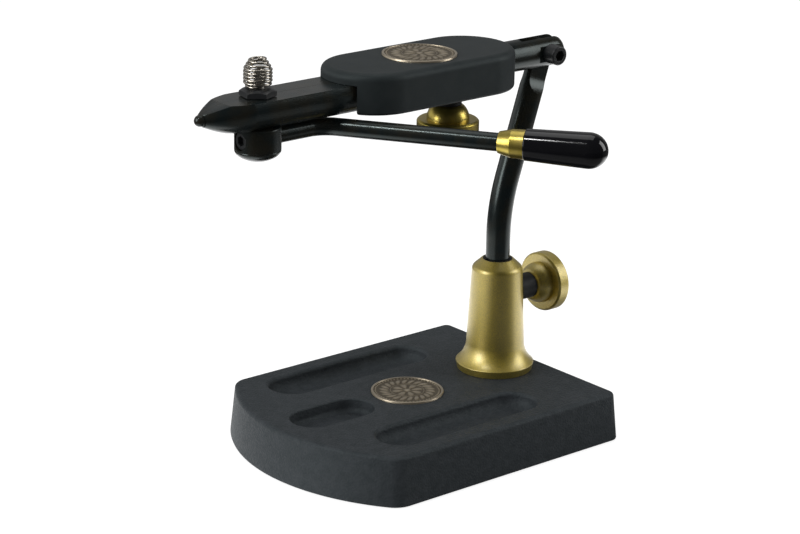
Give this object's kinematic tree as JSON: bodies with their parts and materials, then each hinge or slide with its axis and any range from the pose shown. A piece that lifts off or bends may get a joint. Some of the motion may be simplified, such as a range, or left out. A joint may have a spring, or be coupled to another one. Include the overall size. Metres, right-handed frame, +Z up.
{
  "type": "fly tying vise",
  "caption": "Pedestal vise for tying fishing flies: heavy base with tool troughs, leaning stem, and a tilting, turning head with sprung jaws opened by a cam lever.",
  "frame": {"origin": "on the stem's axis at the level of the table, which is the underside of the base pad", "axes": "+Z up; the jaws point to -X and the stem stands at the rear of the base, so the base runs forward to -X; the lever leaves the head on the -Y side"},
  "size_m": [0.1746, 0.1416, 0.1631],
  "materials": {
    "cast_black": "black leather-grain powder coat on a casting",
    "pad_rubber": "smooth non-slip rubber sheet",
    "antique_bronze": "antiqued bronze, satin, darker in the hollows",
    "satin_brass": "turned brass, bead-blasted satin",
    "black_head": "fine satin black powder coat",
    "black_oxide": "black oxide steel, semi-gloss",
    "black_screw": "black oxide fasteners",
    "black_plastic": "moulded black nylon",
    "grip_plastic": "dipped gloss black plastic",
    "bright_steel": "bare spring and tool steel",
    "bush_bronze": "sintered bronze",
    "nylon": "natural nylon"
  },
  "bodies": {
    "base": {"base_block": "cast_black", "base_pad": "pad_rubber", "base_medallion": "antique_bronze", "pedestal": "satin_brass", "pedestal_screw": "black_screw"},
    "base_lock_collar": {"base_knob_collar": "black_plastic"},
    "base_lock_knob": {"base_knob": "satin_brass", "base_knob_screw": "black_screw"},
    "sleeve": {"stem_sleeve": "black_plastic"},
    "stem": {"stem": "black_oxide"},
    "shaft": {"head_shaft": "black_oxide"},
    "tilt_lock": {"tilt_screw": "black_screw"},
    "head": {"head_housing": "black_head", "head_medallion": "antique_bronze", "shaft_bushes": "bush_bronze", "brake_pad": "nylon", "jaw_pivots": "bright_steel", "jaw_spring": "bright_steel"},
    "head_lock_collar": {"head_knob_collar": "black_plastic"},
    "head_lock_knob": {"head_knob": "satin_brass", "head_knob_screw": "black_screw"},
    "lever": {"cam_post": "bright_steel", "cam_hub": "black_oxide", "cam_set_screw": "black_screw", "lever_rod": "black_oxide", "lever_ferrule": "satin_brass", "lever_grip": "grip_plastic", "nut_washer": "black_screw", "cam_nut": "black_screw", "material_spring": "bright_steel"},
    "near_jaw": {"jaw_near": "black_oxide"},
    "far_jaw": {"jaw_far": "black_oxide"}
  },
  "joints": [
    {"name": "base_lock_travel", "type": "slide", "parent": "base", "child": "base_lock_collar", "axis": [1, 0, 0], "range_m": [0, 0.0019]},
    {"name": "base_lock_turn", "type": "hinge", "parent": "base_lock_collar", "child": "base_lock_knob", "pos_m": [0.02, 0, 0.0504], "axis": [1, 0, 0], "range_deg": [0, 540]},
    {"name": "stem_turn", "type": "hinge", "parent": "base", "child": "sleeve", "pos_m": [0, 0, 0.05], "axis": [0, 0, 1], "continuous": true},
    {"name": "stem_height", "type": "slide", "parent": "sleeve", "child": "stem", "axis": [0, 0, 1], "range_m": [-0.004, 0.011]},
    {"name": "head_tilt", "type": "hinge", "parent": "stem", "child": "shaft", "pos_m": [0.01956, 0, 0.14579], "axis": [0, 1, 0], "range_deg": [-8, 90]},
    {"name": "tilt_lock_turn", "type": "hinge", "parent": "shaft", "child": "tilt_lock", "pos_m": [0.01956, -0.005, 0.14579], "axis": [0, -1, 0], "range_deg": [0, 90]},
    {"name": "head_turn", "type": "hinge", "parent": "shaft", "child": "head", "pos_m": [-0.02044, 0, 0.14579], "axis": [1, 0, 0], "continuous": true},
    {"name": "head_lock_travel", "type": "slide", "parent": "head", "child": "head_lock_collar", "axis": [0, 0, -1], "range_m": [0, 0.0019]},
    {"name": "head_lock_turn", "type": "hinge", "parent": "head_lock_collar", "child": "head_lock_knob", "pos_m": [-0.02784, 0, 0.13], "axis": [0, 0, -1], "range_deg": [0, 540]},
    {"name": "lever_swing", "type": "hinge", "parent": "head", "child": "lever", "pos_m": [-0.11804, 0, 0.14579], "axis": [0, 0, 1], "range_deg": [0, 22], "stiffness_Nm_per_rad": 0.3, "springref_deg": -11.46},
    {"name": "near_jaw_open", "type": "hinge", "parent": "head", "child": "near_jaw", "pos_m": [-0.06604, -0.0042, 0.14579], "axis": [0, 0, 1], "range_deg": [0, 0.93]},
    {"name": "far_jaw_open", "type": "hinge", "parent": "head", "child": "far_jaw", "pos_m": [-0.06604, 0.0042, 0.14579], "axis": [0, 0, 1], "range_deg": [-0.93, 0]}
  ],
  "couplings": [
    {"joint": "base_lock_turn", "follows": "base_lock_travel", "rad_per_m": 4947.4},
    {"joint": "head_lock_turn", "follows": "head_lock_travel", "rad_per_m": 4947.4},
    {"joint": "near_jaw_open", "follows": "lever_swing", "ratio": 0.042},
    {"joint": "far_jaw_open", "follows": "lever_swing", "ratio": -0.042}
  ]
}
